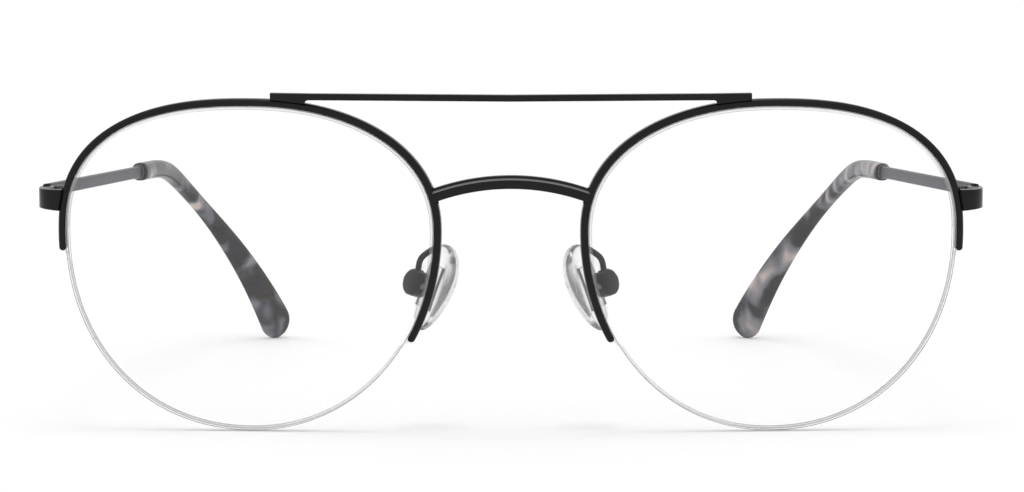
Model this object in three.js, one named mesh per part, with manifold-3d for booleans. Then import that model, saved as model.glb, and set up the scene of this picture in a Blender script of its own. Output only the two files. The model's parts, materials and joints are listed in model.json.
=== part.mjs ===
// Half rim eyeglasses, in millimetres: +Z is up, the wearer looks along -Y, and the wearer's left is +X.
// They stand on the lower edges of both lenses and on the ends of both temple tips, as on a table.
import * as THREE from 'three';
import { ParametricGeometry } from 'three/addons/geometries/ParametricGeometry.js';
import { mergeVertices } from 'three/addons/utils/BufferGeometryUtils.js';
import Module from 'manifold-3d';

const degrees = Math.PI / 180;
const LEFT = 1;
const RIGHT = -1;

// The front, as a whole
const frontTilt = 2.5 * degrees;    // the front leans by this much, so its lower edge is nearer the face
const frontHeight = 32.5;           // height of the front's own origin above the table
const faceWrap = 4.5 * degrees;     // each lens turns outward by this much
const fit = 0.05;                   // room between metal pieces that are soldered or screwed together

// Lenses
const lensCentreX = 36;
const lensCentreZ = -9.5;
const lensCurve = 120;              // radius of the front surface
const lensThickness = 2;
const lens = {
  centreU: 0.76,                    // middle of the outline, from the lens centre
  centreV: 4.95,
  temporalHalf: 26.22,
  nasalHalf: 25.76,
  topHalf: 17.52,
  bottomHalf: 28.14,
  topTemporalFullness: 2.43,        // 2 is an ellipse, and more is a squarer shoulder
  topNasalFullness: 2.17,
  bottomTemporalFullness: 2.12,
  bottomNasalFullness: 2.05,
};
const outlineStep = 6 * degrees;
const grooveDepth = 0.5;
const grooveWidth = 0.52;

// Rims, with the strip and the cord that hold each lens
const rimStart = -5.6 * degrees;    // temporal end, counted from the temporal side over the top
const rimEnd = 213.6 * degrees;     // nasal end
const rimInner = 0.06;              // inside of the rim, outside the lens edge
const rimWidth = 1.02;
const rimDepth = 1.9;
const rimBevel = 0.5;               // taken off the outer corners of the rim wire
const channelDepth = 0.56;
const linerStart = 1 * degrees;
const linerEnd = 206.4 * degrees;
const linerWidth = 0.42;
const cordRadius = 0.21;
const cordStart = 208 * degrees;
const cordEnd = 359.7 * degrees;
const cordLead = 5 * degrees;       // over which the cord crosses from a rim to the lens groove
const cordSeat = 0.04;              // between the cord and the outline of the lens

// Brow bar and nose bridge
const browHalf = 33.6;
const browTop = 14.74;              // top edge over the nose, in the front's own frame
const browSag = 0.17;               // how much lower the bar is there than at its ends
const browHeight = 0.96;
const browDepth = 1.3;
const browFront = 0.6;              // front face over the nose
const browBow = 1.3;                // how much further back its ends are
const gussetStart = 28.75;          // its deeper ends begin here
const gussetDepth = 2;              // before they are cut to meet the rims
const gussetNotch = 0.3;
const bridgeHalf = 11.6;            // to inside the rims, which it is then cut to meet
const bridgeFront = 0.5;            // front face over the nose
const bridgeBow = 0.7;              // how much further back its ends are
const bridgeCrown = 2.53;
const bridgeRadius = 30.8;
const bridgeHeight = 1.86;
const bridgeDepth = 1.5;
const bridgeSquareness = 3.2;

// Endpieces and hinges
const hingeAxis = new THREE.Vector3(64.1, 11.2, -0.3);
const strapDrop = 0.1;              // the middle of the strap is this far under the middle of the hinge
const strapOffset = 1.8;            // from the hinge axis to the middle of the strap outside it
const strapThickness = 1.42;
const endpieceHeight = 2.7;
const endpieceDroop = 0.42;         // its lower edge is this much lower at the rim than at the hinge
const endpieceCornerX = 63.4;
const endpieceCornerY = 8.7;
const endpieceReach = 1.5;          // from the corner in to the rim, before it is cut to meet it
const knuckleRadius = 1;
const knuckleHeight = 0.82;
const knuckleGap = 0.06;
const screwRadius = 0.55;
const screwClearance = 0.06;
const headRadius = 0.8;             // the screw's head is let into the upper knuckle
const headHeight = 0.35;
const slotWidth = 0.24;
const slotDepth = 0.15;
const leafInner = 0.46;             // inner face of the front leaf, from the hinge axis
const leafThickness = strapOffset - strapThickness / 2 - fit - leafInner;
const leafStart = knuckleRadius + 0.12;
const leafReach = 2.8;              // ends of the front and temple leaves, from the hinge axis
const templeLeafReach = 5.2;
const templeLeafTop = 0.85;
const webReach = 1.4;

// Temples
const templeLength = 145.77;
const armLength = 70.3;               // from the hinge to the mouth of the tip
const armHeight = 1.8;
const armRise = 0.6;               // the arm's middle is this far above the middle of the hinge
const armThickness = 1.15;
const templeStep = 0.5;
const startYaw = 5.9 * degrees;     // the temples come together towards the ears
const endYaw = 45 * degrees;
const curlStart = 94;
const curlLength = 42;
const startPitch = 1.27 * degrees;
const endPitch = 59.4 * degrees;
const bendStart = 77.8;
const bendLength = 70;
const coreEnd = 129.8;              // the wire inside the tip stops here
const coreHalfThick = 0.42;
const coreHalfTall = 0.62;
const coreTaper = 0.7;              // its size at the end, as a share of its size at the mouth
const coreRoom = 0.12;              // between the wire and the tip around it
const shoulderHalfThick = 0.85;
const shoulderHalfTall = 1.08;
const shoulderLength = 1.2;
const tipRound = 3;                 // over which the end of the tip closes

// Nose pads
const padCentre = new THREE.Vector3(10.85, 9.4, -13.4);
const padSplay = 35 * degrees;
const padLean = 20 * degrees;
const padHalf = new THREE.Vector3(1.3, 4.25, 6.4);
const boxMiddle = 3.4;              // from the middle of the pad to the pad screw
const boxRadius = 1.95;
const boxDepth = 2.2;
const boxRound = 0.55;              // the box's closed end is rounded by this much
const insertBack = 1.05;            // back face of the insert's plate, from the middle of the pad
const insertThickness = 0.7;
const insertHalfWidth = 1.6;
const insertHalfLength = 3.2;
const stemThickness = 1.1;
const stemHalfLength = 0.6;
const eyeRadius = 0.68;
const padScrewRadius = 0.4;
const padHeadRadius = 0.68;
const padHeadHeight = 0.25;
const padWireRadius = 0.44;
const padWireAngle = 186.1 * degrees; // where it is soldered to the rim

const blackMetal = { color: 0x1b1a19, roughness: 0.45, metalness: 0.6 };
const greyMetal = { color: 0x3a3a3a, roughness: 0.4, metalness: 0.7 };
const clearLens = { color: 0xf4f7f8, roughness: 0.05, metalness: 0, transparent: true, opacity: 0.2 };
const clearNylon = { color: 0xe8eaec, roughness: 0.3, metalness: 0, transparent: true, opacity: 0.6 };
const clearSilicone = { color: 0xf0f1f2, roughness: 0.25, metalness: 0, transparent: true, opacity: 0.5 };
const marbledAcetate = { color: 0x4a4a50, roughness: 0.25, metalness: 0 };

const wasm = await Module();
wasm.setup();

// ---- Solids ----

/** The geometry with shared corners merged, no collapsed triangles, and its faces pointing out. */
function closedBody(geometry) {
  const bare = geometry.clone();
  bare.deleteAttribute('normal');
  bare.deleteAttribute('uv');
  const merged = mergeVertices(bare, 1e-4);
  const corners = merged.index.array;
  const kept = [];
  let volume = 0;
  const [a, b, c] = [new THREE.Vector3(), new THREE.Vector3(), new THREE.Vector3()];
  for (let i = 0; i < corners.length; i += 3) {
    const [p, q, r] = [corners[i], corners[i + 1], corners[i + 2]];
    if (p === q || q === r || r === p) continue;
    kept.push(p, q, r);
    a.fromBufferAttribute(merged.attributes.position, p);
    b.fromBufferAttribute(merged.attributes.position, q);
    c.fromBufferAttribute(merged.attributes.position, r);
    volume += a.dot(b.cross(c));
  }
  if (volume < 0) kept.reverse();
  merged.setIndex(kept);
  return merged;
}

function toSolid(geometry) {
  const body = closedBody(geometry);
  const vertProperties = new Float32Array(body.attributes.position.array);
  const triVerts = new Uint32Array(body.index.array);
  return new wasm.Manifold(new wasm.Mesh({ numProp: 3, vertProperties, triVerts }));
}

function toGeometry(solid) {
  const mesh = solid.getMesh();
  const geometry = new THREE.BufferGeometry();
  geometry.setAttribute('position', new THREE.BufferAttribute(new Float32Array(mesh.vertProperties), 3));
  geometry.setIndex(new THREE.BufferAttribute(new Uint32Array(mesh.triVerts), 1));
  return geometry;
}

function joined(first, ...others) {
  return toGeometry(others.reduce((solid, other) => solid.add(toSolid(other)), toSolid(first)));
}

function cut(body, ...tools) {
  return toGeometry(tools.reduce((solid, tool) => solid.subtract(toSolid(tool)), toSolid(body)));
}

/** A body through rings of points: the first and last stations are single points that close its ends. */
function loft(stations, sides, pointAt) {
  const last = stations.length - 1;
  const surface = (around, along, target) => {
    pointAt(stations[Math.round(along * last)], around * 2 * Math.PI, target);
  };
  return closedBody(new ParametricGeometry(surface, sides, last));
}

/** A point of a rounded square two across: more squareness gives tighter corners. */
function roundedSquare(angle, squareness) {
  const [c, s] = [Math.cos(angle), Math.sin(angle)];
  const reach = (Math.abs(c) ** squareness + Math.abs(s) ** squareness) ** (-1 / squareness);
  return new THREE.Vector2(reach * c, reach * s);
}

/** A copy for the other side of the face. */
function mirrored(geometry) {
  return closedBody(geometry.clone().scale(-1, 1, 1));
}

/** A rod of round section along a curve, closed at both ends. */
function rod(curve, radius, steps, sides = 8) {
  const section = new THREE.Shape();
  for (let i = 0; i < sides; i++) {
    const angle = (i + 0.5) * 2 * Math.PI / sides;
    const [x, y] = [radius * Math.cos(angle), radius * Math.sin(angle)];
    if (i === 0) section.moveTo(x, y);
    else section.lineTo(x, y);
  }
  section.closePath();
  return new THREE.ExtrudeGeometry(section, { steps, extrudePath: curve, bevelEnabled: false });
}

/** A plan outline raised from z = bottom to z = top. */
function raised(shape, bottom, top, curveSegments = 8) {
  const body = new THREE.ExtrudeGeometry(shape, { depth: top - bottom, bevelEnabled: false, curveSegments });
  return body.translate(0, 0, bottom);
}

function box(x0, x1, y0, y1, z0, z1) {
  const body = new THREE.BoxGeometry(x1 - x0, y1 - y0, z1 - z0);
  return body.translate((x0 + x1) / 2, (y0 + y1) / 2, (z0 + z1) / 2);
}

// ---- Lens outline: u runs outward from the nose, v runs up, and angles start at the temporal side ----

function outlineAt(angle) {
  const [c, s] = [Math.cos(angle), Math.sin(angle)];
  const halfWide = c >= 0 ? lens.temporalHalf : lens.nasalHalf;
  const halfTall = s >= 0 ? lens.topHalf : lens.bottomHalf;
  const topFullness = c >= 0 ? lens.topTemporalFullness : lens.topNasalFullness;
  const bottomFullness = c >= 0 ? lens.bottomTemporalFullness : lens.bottomNasalFullness;
  const fullness = s >= 0 ? topFullness : bottomFullness;
  const sum = Math.abs(c / halfWide) ** fullness + Math.abs(s / halfTall) ** fullness;
  const reach = sum ** (-1 / fullness);
  return new THREE.Vector2(lens.centreU + reach * c, lens.centreV + reach * s);
}

/** A point of the outline moved out by a distance, square to the lens edge. */
function edgePoint(angle, out) {
  const nudge = 0.5 * degrees;
  const along = outlineAt(angle + nudge).sub(outlineAt(angle - nudge)).normalize();
  return outlineAt(angle).add(new THREE.Vector2(along.y, -along.x).multiplyScalar(out));
}

function edgeAngles(from, to) {
  const angles = [from];
  const first = Math.floor(from / outlineStep + 0.1) + 1;
  for (let k = first; k * outlineStep < to - 0.1 * outlineStep; k++) angles.push(k * outlineStep);
  angles.push(to);
  return angles;
}

/** How far the front surface of the lens falls back at (u, v). */
function sag(u, v) {
  return lensCurve - Math.sqrt(lensCurve ** 2 - u ** 2 - v ** 2);
}

/**
 * A band along the lens edge, on the curve of the lens: from one angle to another, between two distances
 * outside the edge, and between two depths behind the front surface. Its ends are round, and a bevel takes
 * that much off its two outer corners.
 */
function band(from, to, inner, outer, front, back, bevel = 0) {
  const half = (outer - inner) / 2;
  const turnPerMm = 1 / (lens.temporalHalf + inner + half);
  const roundEnd = (angle, way) => [70, 40, 0].map((lean) => ({
    angle: angle + way * half * Math.sin(lean * degrees) * turnPerMm,
    width: half * Math.cos(lean * degrees),
  }));
  const middle = edgeAngles(from, to).slice(1, -1).map((angle) => ({ angle, width: half }));
  const start = roundEnd(from, -1);
  const end = roundEnd(to, 1).reverse();
  const stations = [
    { angle: start[0].angle, width: 0 },
    ...start,
    ...middle,
    ...end,
    { angle: end[end.length - 1].angle, width: 0 },
  ];
  const beveled = 1 - bevel / half;
  const corners = bevel > 0
    ? [[-1, front], [beveled, front], [1, front + bevel], [1, back - bevel], [beveled, back], [-1, back]]
    : [[-1, front], [1, front], [1, back], [-1, back]];
  return loft(stations, corners.length, ({ angle, width }, around, target) => {
    const corner = Math.round(around / (2 * Math.PI) * corners.length);
    const [way, depth] = corners[corner % corners.length];
    const place = edgePoint(angle, inner + half + way * width);
    target.set(place.x, sag(place.x, place.y) + (width ? depth : (front + back) / 2), place.y);
  });
}

/** From the frame of the left lens to the front's own frame. */
function onFront(thing) {
  const place = new THREE.Matrix4().makeRotationZ(faceWrap).setPosition(lensCentreX, 0, lensCentreZ);
  return thing.applyMatrix4(place);
}

/** The room taken up by the left rim and well past it to the front and back, for cutting what meets it. */
function rimSeat(from, to) {
  const past = 2 * rimDepth;
  return onFront(band(from, to, -rimDepth, rimInner + rimWidth + fit, -past, lensThickness + past));
}

// ---- Pieces of one side, each in the frame of the group that holds it ----

function makeLens() {
  const middle = lensThickness / 2;
  const [lip, foot] = [middle - grooveWidth / 2, middle + grooveWidth / 2];
  const stations = [
    { reach: 0, inset: 0, depth: 0 },
    { reach: 0.6, inset: 0, depth: 0 },
    { reach: 1, inset: 0, depth: 0 },
    { reach: 1, inset: 0, depth: lip },
    { reach: 1, inset: grooveDepth, depth: lip },
    { reach: 1, inset: grooveDepth, depth: foot },
    { reach: 1, inset: 0, depth: foot },
    { reach: 1, inset: 0, depth: lensThickness },
    { reach: 0.6, inset: 0, depth: lensThickness },
    { reach: 0, inset: 0, depth: lensThickness },
  ];
  return loft(stations, Math.round(2 * Math.PI / outlineStep), (station, angle, target) => {
    const edge = edgePoint(angle, -station.inset);
    const u = THREE.MathUtils.lerp(lens.centreU, edge.x, station.reach);
    const v = THREE.MathUtils.lerp(lens.centreV, edge.y, station.reach);
    target.set(u, sag(u, v) + station.depth, v);
  });
}

function makeRim() {
  const middle = lensThickness / 2;
  const outside = rimInner + rimWidth;
  const [front, back] = [middle - rimDepth / 2, middle + rimDepth / 2];
  const wire = band(rimStart, rimEnd, rimInner, outside, front, back, rimBevel);
  const past = 4 * degrees;
  const [lip, foot] = [middle - grooveWidth / 2, middle + grooveWidth / 2];
  return cut(wire, band(rimStart - past, rimEnd + past, -1, rimInner + channelDepth, lip, foot));
}

function makeLiner() {
  const middle = lensThickness / 2;
  const [front, back] = [middle - linerWidth / 2, middle + linerWidth / 2];
  return band(linerStart, linerEnd, fit - grooveDepth, rimInner + channelDepth - fit, front, back);
}

/** The nylon cord: out of the rim's channel at the nose, round in the lens groove, and into the rim again. */
function makeLensCord() {
  const inRim = rimInner + channelDepth / 2;
  const inLens = -cordRadius - cordSeat;
  const points = edgeAngles(cordStart, cordEnd).map((angle) => {
    const beyondNose = (angle - rimEnd) / cordLead;
    const beyondSide = (rimStart + 2 * Math.PI - angle) / cordLead;
    const settled = THREE.MathUtils.smoothstep(Math.min(beyondNose, beyondSide), 0, 1);
    const place = edgePoint(angle, THREE.MathUtils.lerp(inRim, inLens, settled));
    return new THREE.Vector3(place.x, sag(place.x, place.y) + lensThickness / 2, place.y);
  });
  return rod(new THREE.CatmullRomCurve3(points), cordRadius, 28);
}

/** The outer strap that carries the hinge: out from the rim and round the corner to the temple. */
function makeEndpiece() {
  const outer = hingeAxis.x + strapOffset + strapThickness / 2 - endpieceCornerX;
  const inner = outer - strapThickness;
  const plan = new THREE.Shape();
  plan.moveTo(endpieceCornerX - endpieceReach, endpieceCornerY - outer);
  plan.absarc(endpieceCornerX, endpieceCornerY, outer, -Math.PI / 2, 0, false);
  plan.lineTo(endpieceCornerX + outer, hingeAxis.y - fit);
  plan.lineTo(endpieceCornerX + inner, hingeAxis.y - fit);
  plan.absarc(endpieceCornerX, endpieceCornerY, inner, 0, -Math.PI / 2, true);
  plan.lineTo(endpieceCornerX - endpieceReach, endpieceCornerY - inner);
  const middle = hingeAxis.z - strapDrop;
  const strap = raised(plan, middle - endpieceHeight / 2, middle + endpieceHeight / 2);
  const span = outer + endpieceReach;
  const places = strap.attributes.position;
  for (let i = 0; i < places.count; i++) {
    const inward = (endpieceCornerX + outer - places.getX(i)) / span;
    if (places.getZ(i) < middle) places.setZ(i, places.getZ(i) - endpieceDroop * inward);
  }
  return cut(strap, rimSeat(-24 * degrees, 42 * degrees));
}

/** A knuckle around the hinge axis, with a web that reaches to one side of it. */
function knuckle(bottom, top, reach) {
  const eye = new THREE.CylinderGeometry(knuckleRadius, knuckleRadius, top - bottom, 20);
  eye.rotateX(Math.PI / 2).translate(0, 0, (bottom + top) / 2);
  const [near, far] = reach < 0 ? [reach, 0] : [0, reach];
  return joined(eye, box(leafInner, leafInner + leafThickness, near, far, bottom, top));
}

function screwHole(radius) {
  return new THREE.CylinderGeometry(radius, radius, 8, 16).rotateX(Math.PI / 2);
}

/** The front leaf: a plate inside the endpiece with an upper and a lower knuckle, about the hinge axis. */
function makeFrontHinge() {
  const half = knuckleHeight / 2;
  const top = half + knuckleGap + knuckleHeight;
  const plate = box(leafInner, leafInner + leafThickness, -leafReach, -leafStart, -top, top);
  const upper = knuckle(half + knuckleGap, top, -webReach);
  const lower = knuckle(-top, -half - knuckleGap, -webReach);
  const sink = new THREE.CylinderGeometry(headRadius + fit, headRadius + fit, 1, 16).rotateX(Math.PI / 2);
  sink.translate(0, 0, top - headHeight + 0.5);
  return cut(joined(plate, upper, lower), screwHole(screwRadius + screwClearance), sink);
}

/** The temple leaf: a plate inside the arm with the middle knuckle, in the frame of the front's hinge. */
function makeTempleHinge() {
  const half = knuckleHeight / 2;
  const foot = armRise - armHeight / 2;
  const plate = box(0, leafThickness, leafStart, templeLeafReach, foot, templeLeafTop);
  const alongArm = new THREE.Matrix4().makeRotationFromEuler(
    new THREE.Euler(-startPitch - frontTilt, 0, startYaw, 'ZXY'),
  );
  plate.applyMatrix4(alongArm);
  plate.translate(strapOffset - armThickness / 2 - fit - leafThickness, 0, 0);
  return cut(joined(plate, knuckle(-half, half, webReach)), screwHole(screwRadius + screwClearance));
}

function makeHingeScrew() {
  const top = 1.5 * knuckleHeight + knuckleGap;
  const under = top - headHeight + fit;
  const profile = [[0, -top], [screwRadius, -top], [screwRadius, under], [headRadius, under],
    [headRadius, top], [0, top]];
  const body = new THREE.LatheGeometry(profile.map(([r, h]) => new THREE.Vector2(r, h)), 16);
  body.rotateX(Math.PI / 2);
  const slotHalf = slotWidth / 2;
  return cut(body, box(-1, 1, -slotHalf, slotHalf, top - slotDepth, top + 1));
}

/** The temple's centre line from the hinge: straight, then bent down and curled in behind the ear. */
function templeLine() {
  const stations = [];
  const position = new THREE.Vector3(strapOffset, 0, armRise);
  for (let s = 0; s <= templeLength + templeStep; s += templeStep) {
    const bend = THREE.MathUtils.smoothstep(s, bendStart, bendStart + bendLength);
    const curl = THREE.MathUtils.smoothstep(s, curlStart, curlStart + curlLength);
    const pitch = THREE.MathUtils.lerp(startPitch, endPitch, bend);
    const yaw = THREE.MathUtils.lerp(startYaw, endYaw, curl);
    const level = Math.cos(pitch);
    const ahead = new THREE.Vector3(-Math.sin(yaw) * level, Math.cos(yaw) * level, -Math.sin(pitch));
    const outward = new THREE.Vector3(Math.cos(yaw), Math.sin(yaw), 0);
    const up = new THREE.Vector3().crossVectors(outward, ahead);
    stations.push({ position: position.clone(), outward, up });
    position.addScaledVector(ahead, templeStep);
  }
  return stations;
}

const line = templeLine();

/** A body along the temple: each station is [distance, half thickness, half height], in a rounded section. */
function alongTemple(sections, sides, squareness) {
  const first = sections[0];
  const last = sections[sections.length - 1];
  const stations = [[first[0], 0, 0], ...sections, [last[0], 0, 0]];
  return loft(stations, sides, ([distance, halfThick, halfTall], angle, target) => {
    const index = Math.min(Math.floor(distance / templeStep), line.length - 2);
    const share = distance / templeStep - index;
    const [from, to] = [line[index], line[index + 1]];
    const section = roundedSquare(angle, squareness);
    target.copy(from.position).lerp(to.position, share);
    target.addScaledVector(from.outward, halfThick * section.x);
    target.addScaledVector(from.up, halfTall * section.y);
  });
}

/** Distances along the temple, with short steps in the bend. */
function templeSteps(from, to) {
  const steps = [];
  for (let s = from; s < to - 1; s += s < bendStart - 2 ? 6 : 3) steps.push(s);
  steps.push(to);
  return steps;
}

/** Sections of the wire inside the tip, with some room added all round it. */
function coreSections(from, to, room) {
  return templeSteps(from, to).map((s) => {
    const taper = THREE.MathUtils.mapLinear(s, armLength, coreEnd, 1, coreTaper);
    return [s, coreHalfThick * taper + room, coreHalfTall * taper + room];
  });
}

/** The arm: a flat strap, a shoulder at the tip's mouth, and the core wire that stiffens the tip. */
function makeTempleArm() {
  const [thick, tall] = [armThickness / 2, armHeight / 2];
  const start = 3 * fit;
  const strapEnd = armLength - shoulderLength - 0.2;
  const strap = [0, 0.3, 0.65, 1].map((share) => [THREE.MathUtils.lerp(start, strapEnd, share), thick, tall]);
  const shoulder = [
    [armLength - shoulderLength, shoulderHalfThick, shoulderHalfTall],
    [armLength - 0.3, shoulderHalfThick, shoulderHalfTall],
    [armLength - 0.1, thick, armHeight / 2 - 0.1],
  ];
  return alongTemple([...strap, ...shoulder, ...coreSections(armLength, coreEnd, 0)], 12, 4);
}

/** Half thickness and half height of the tip, at a share of its length. */
function tipSection(share) {
  const widths = new THREE.SplineCurve([
    new THREE.Vector2(1.24, 1.4),
    new THREE.Vector2(1.24, 1.42),
    new THREE.Vector2(1.14, 1.38),
    new THREE.Vector2(1.04, 1.32),
    new THREE.Vector2(1.12, 2.15),
    new THREE.Vector2(1.1, 3.2),
  ]);
  return widths.getPoint(share);
}

function makeTempleTip() {
  const mouth = armLength + 0.15;
  const roundFrom = templeLength - tipRound;
  const sections = templeSteps(mouth, roundFrom).map((s) => {
    const half = tipSection((s - mouth) / (templeLength - mouth));
    return [s, half.x, half.y];
  });
  const blunt = tipSection((roundFrom - mouth) / (templeLength - mouth));
  for (const share of [0.45, 0.75, 0.94, 0.995]) {
    const shrink = Math.sqrt(1 - share ** 2);
    sections.push([THREE.MathUtils.lerp(roundFrom, templeLength, share), blunt.x * shrink, blunt.y * shrink]);
  }
  const outside = alongTemple(sections, 12, 2.6);
  const bore = coreSections(armLength - 1, coreEnd + 0.5, coreRoom);
  return cut(outside, alongTemple(bore, 12, 4));
}

// ---- Nose pad, in its own frame: x points away from the nose, y along its width, z along its length ----

/** The soft pad: a flattened oval, hollow at the back for its insert. */
function makeNosePad() {
  const body = new THREE.SphereGeometry(1, 16, 10).rotateX(Math.PI / 2);
  body.scale(padHalf.x, padHalf.y, padHalf.z);
  const [wide, long] = [insertHalfWidth + 2 * fit, insertHalfLength + 2 * fit];
  return cut(body, box(insertBack - insertThickness - fit, 2 * padHalf.x, -wide, wide, -long, long));
}

function padScrewHole() {
  const radius = padScrewRadius + fit;
  return new THREE.CylinderGeometry(radius, radius, 3 * boxRadius, 12).translate(boxMiddle, 0, 0);
}

/** The hard plate in the back of the pad, with the stem and eye that the pad screw holds. */
function makePadInsert() {
  const [wide, long] = [insertHalfWidth, insertHalfLength];
  const plate = box(insertBack - insertThickness, insertBack, -wide, wide, -long, long);
  const half = stemThickness / 2;
  const stem = box(insertBack - fit, boxMiddle, -half, half, -stemHalfLength, stemHalfLength);
  const eye = new THREE.CylinderGeometry(eyeRadius, eyeRadius, stemThickness, 16);
  return cut(joined(plate, stem, eye.translate(boxMiddle, 0, 0)), padScrewHole());
}

/** The round box behind the pad, slotted from side to side for the stem. */
function makePadBox() {
  const [foot, top] = [-boxDepth / 2, boxDepth / 2];
  const shoulder = [0, 30, 60, 90].map((turn) => [
    boxRadius - boxRound * (1 - Math.cos(turn * degrees)),
    top - boxRound * (1 - Math.sin(turn * degrees)),
  ]);
  const profile = [[0, foot], [boxRadius, foot], ...shoulder, [0, top]];
  const cup = new THREE.LatheGeometry(profile.map(([r, h]) => new THREE.Vector2(r, h)), 20);
  cup.rotateZ(-Math.PI / 2).translate(boxMiddle, 0, 0);
  const half = stemThickness / 2 + fit;
  const slot = box(0, boxMiddle + eyeRadius + 2 * fit, -half, half, -2 * boxRadius, 2 * boxRadius);
  return cut(cup, slot, padScrewHole());
}

function makePadScrew() {
  const foot = 2 * fit - boxRadius;
  const under = boxRadius + fit;
  const top = under + padHeadHeight;
  const profile = [[0, foot], [padScrewRadius, foot], [padScrewRadius, under], [padHeadRadius, under],
    [padHeadRadius, top], [0, top]];
  const body = new THREE.LatheGeometry(profile.map(([r, h]) => new THREE.Vector2(r, h)), 12);
  body.translate(boxMiddle, 0, 0);
  return body;
}

/** The wire from the back of the rim to the pad box, in the front's own frame. */
function makePadWire(fromRim, toBox) {
  const curve = new THREE.CatmullRomCurve3([
    fromRim,
    new THREE.Vector3(fromRim.x + 0.3, fromRim.y + 1.7, fromRim.z + 0.2),
    new THREE.Vector3(fromRim.x + 0.9, fromRim.y + 3.4, fromRim.z - 0.2),
    new THREE.Vector3(toBox.x - 0.4, toBox.y + 0.5, toBox.z + 1.6),
    toBox,
  ]);
  return rod(curve, padWireRadius, 14);
}

// ---- Brow bar and bridge, across both sides ----

/** A thin bar over both lenses, with a deeper end that sits on each rim. */
function makeBrowBar() {
  const topAt = (x) => browTop + browSag * (x / browHalf) ** 2;
  const footAt = (x) => topAt(x) - browHeight;
  const foot = footAt(gussetStart);
  const half = [
    [browHalf, topAt(browHalf)],
    [browHalf, foot - gussetDepth],
    [gussetStart + gussetNotch / 3, foot - gussetDepth],
    [gussetStart, foot - gussetNotch],
    [gussetStart - gussetNotch / 3, foot - gussetNotch / 3],
    [gussetStart - gussetNotch, foot],
  ];
  const shares = [0.6, 0.2, -0.2, -0.6];
  const underside = shares.map((share) => [share * browHalf, footAt(share * browHalf)]);
  const crown = shares.map((share) => [-share * browHalf, topAt(share * browHalf)]);
  const otherHalf = half.map(([x, z]) => [-x, z]).reverse();
  const outline = [...half, ...underside, ...otherHalf, ...crown].map(([x, z]) => new THREE.Vector2(x, z));
  const body = new THREE.ExtrudeGeometry(new THREE.Shape(outline), { depth: browDepth, bevelEnabled: false });
  body.rotateX(Math.PI / 2).translate(0, browFront + browDepth, 0);
  const places = body.attributes.position;
  for (let i = 0; i < places.count; i++) {
    places.setY(i, places.getY(i) + browBow * (places.getX(i) / browHalf) ** 2);
  }
  const seat = rimSeat(72 * degrees, 132 * degrees);
  return cut(body, seat, mirrored(seat));
}

/** The arch over the nose, let in between the two rims. */
function makeBridge() {
  const steps = 16;
  const halfSpan = Math.asin(bridgeHalf / bridgeRadius);
  const shares = Array.from({ length: steps + 1 }, (_, i) => 2 * i / steps - 1);
  const stations = [[-1, 0], ...shares.map((share) => [share, 1]), [1, 0]];
  const arch = loft(stations, 12, ([share, size], around, target) => {
    const section = roundedSquare(around, bridgeSquareness).multiplyScalar(size);
    const radius = bridgeRadius + section.y * bridgeHeight / 2;
    const angle = share * halfSpan;
    const depth = bridgeFront + bridgeBow * share ** 2 + (1 + section.x) * bridgeDepth / 2;
    target.set(radius * Math.sin(angle), depth, bridgeCrown - bridgeRadius + radius * Math.cos(angle));
  });
  const seat = rimSeat(140 * degrees, 206 * degrees);
  return cut(arch, seat, mirrored(seat));
}

// ---- Assembly ----

const glasses = new THREE.Group();

/** Adds a piece, built for the wearer's left and mirrored for the right. */
function addPiece(parent, side, name, geometry, finish) {
  const fullName = side === 0 ? name : `${side === LEFT ? 'left' : 'right'}_${name}`;
  const body = side === RIGHT ? mirrored(geometry) : closedBody(geometry);
  const mesh = new THREE.Mesh(body, new THREE.MeshStandardMaterial(finish));
  mesh.name = fullName;
  parent.add(mesh);
  return mesh;
}

const front = new THREE.Group();
front.position.z = frontHeight;
front.rotation.x = frontTilt;
glasses.add(front);

addPiece(front, 0, 'brow_bar', makeBrowBar(), blackMetal);
addPiece(front, 0, 'nose_bridge', makeBridge(), blackMetal);

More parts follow.
